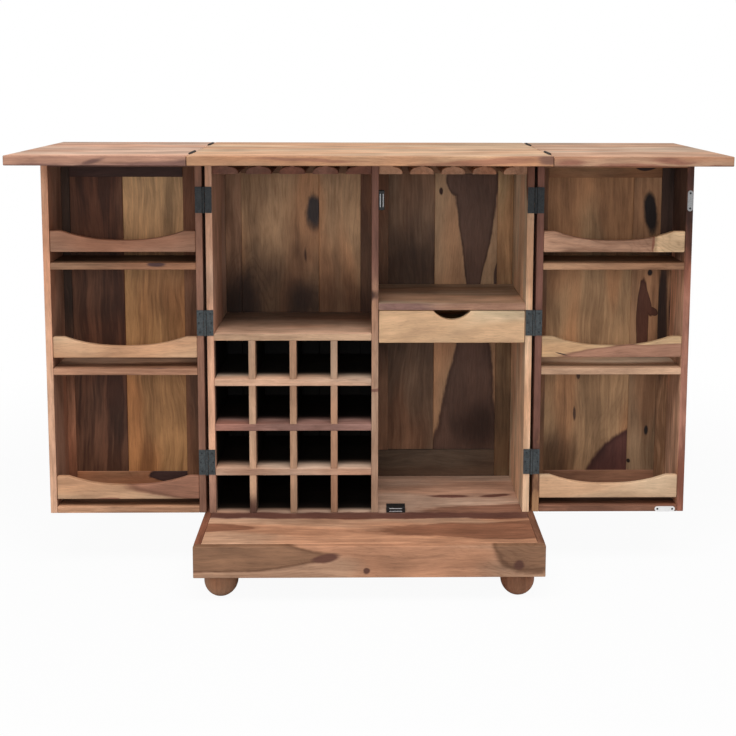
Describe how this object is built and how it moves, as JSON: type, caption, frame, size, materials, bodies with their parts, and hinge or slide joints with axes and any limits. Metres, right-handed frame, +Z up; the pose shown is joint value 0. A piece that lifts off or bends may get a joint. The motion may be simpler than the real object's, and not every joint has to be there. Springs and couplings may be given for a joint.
{
  "type": "fold-out bar cabinet",
  "caption": "Solid wood bar cabinet standing open: flaps of the serving top spread, bottle-shelf doors swung out, bottle grid, drawer and stemware rails inside, on ball feet.",
  "frame": {"origin": "on the floor under the middle of the cabinet's centre top", "axes": "+Z up, the open front faces -Y, +X to the right of someone who faces the cabinet"},
  "size_m": [1.6812, 0.5, 1.0762],
  "materials": {
    "top_wood": "satin, pinkish tan",
    "case_wood": "satin, mid brown with dark figure",
    "dark_wood": "satin, dark heartwood",
    "drawer_wood": "satin, light sapwood",
    "iron": "dark, matt",
    "plastic": "black",
    "steel": "bright"
  },
  "bodies": {
    "cabinet": {"top_board": "top_wood", "left_side": "case_wood", "right_side": "case_wood", "divider": "case_wood", "back_frame": "case_wood", "left_back_panel": "dark_wood", "right_back_panel": "dark_wood", "left_shelf": "case_wood", "right_shelf": "case_wood", "bottle_shelf_1": "case_wood", "bottle_shelf_2": "case_wood", "bottle_shelf_3": "case_wood", "bottle_upright_1": "case_wood", "bottle_upright_2": "case_wood", "bottle_upright_3": "case_wood", "plinth_top": "case_wood", "plinth_front": "case_wood", "plinth_back": "case_wood", "plinth_left": "case_wood", "plinth_right": "case_wood", "front_left_foot": "case_wood", "back_left_foot": "case_wood", "front_right_foot": "case_wood", "back_right_foot": "case_wood", "upper_catch": "plastic", "lower_catch": "plastic"},
    "left_door": {"left_door_hinge_side": "case_wood", "left_door_outer_side": "case_wood", "left_door_top": "case_wood", "left_door_bottom": "case_wood", "left_door_upper_shelf": "case_wood", "left_door_lower_shelf": "case_wood", "left_door_upper_guard": "case_wood", "left_door_middle_guard": "case_wood", "left_door_bottom_guard": "case_wood", "left_door_frame": "case_wood", "left_door_panel": "dark_wood", "left_door_knob": "iron"},
    "right_door": {"right_door_hinge_side": "case_wood", "right_door_outer_side": "case_wood", "right_door_top": "case_wood", "right_door_bottom": "case_wood", "right_door_upper_shelf": "case_wood", "right_door_lower_shelf": "case_wood", "right_door_upper_guard": "case_wood", "right_door_middle_guard": "case_wood", "right_door_bottom_guard": "case_wood", "right_door_frame": "case_wood", "right_door_panel": "dark_wood", "right_door_knob": "iron", "right_door_closing_strip": "case_wood", "right_door_upper_strike_plate": "steel", "right_door_lower_strike_plate": "steel"},
    "left_flap": {"left_flap": "top_wood"},
    "right_flap": {"right_flap": "top_wood"},
    "drawer": {"drawer_front": "drawer_wood", "drawer_left_side": "drawer_wood", "drawer_right_side": "drawer_wood", "drawer_back": "drawer_wood", "drawer_bottom": "drawer_wood"}
  },
  "joints": [
    {"name": "left_door_hinge", "type": "hinge", "parent": "cabinet", "child": "left_door", "pos_m": [-0.412, -0.0523, 0.1451], "axis": [0, 0, 1], "range_deg": [0, 180]},
    {"name": "right_door_hinge", "type": "hinge", "parent": "cabinet", "child": "right_door", "pos_m": [0.412, -0.0523, 0.1451], "axis": [0, 0, -1], "range_deg": [0, 180]},
    {"name": "left_flap_hinge", "type": "hinge", "parent": "cabinet", "child": "left_flap", "pos_m": [-0.4206, 0, 1.0728], "axis": [0, 1, 0], "range_deg": [0, 180]},
    {"name": "right_flap_hinge", "type": "hinge", "parent": "cabinet", "child": "right_flap", "pos_m": [0.4206, 0, 1.0728], "axis": [0, -1, 0], "range_deg": [0, 180]},
    {"name": "drawer_slide", "type": "slide", "parent": "cabinet", "child": "drawer", "axis": [0, 1, 0], "range_m": [-0.19, 0]}
  ]
}
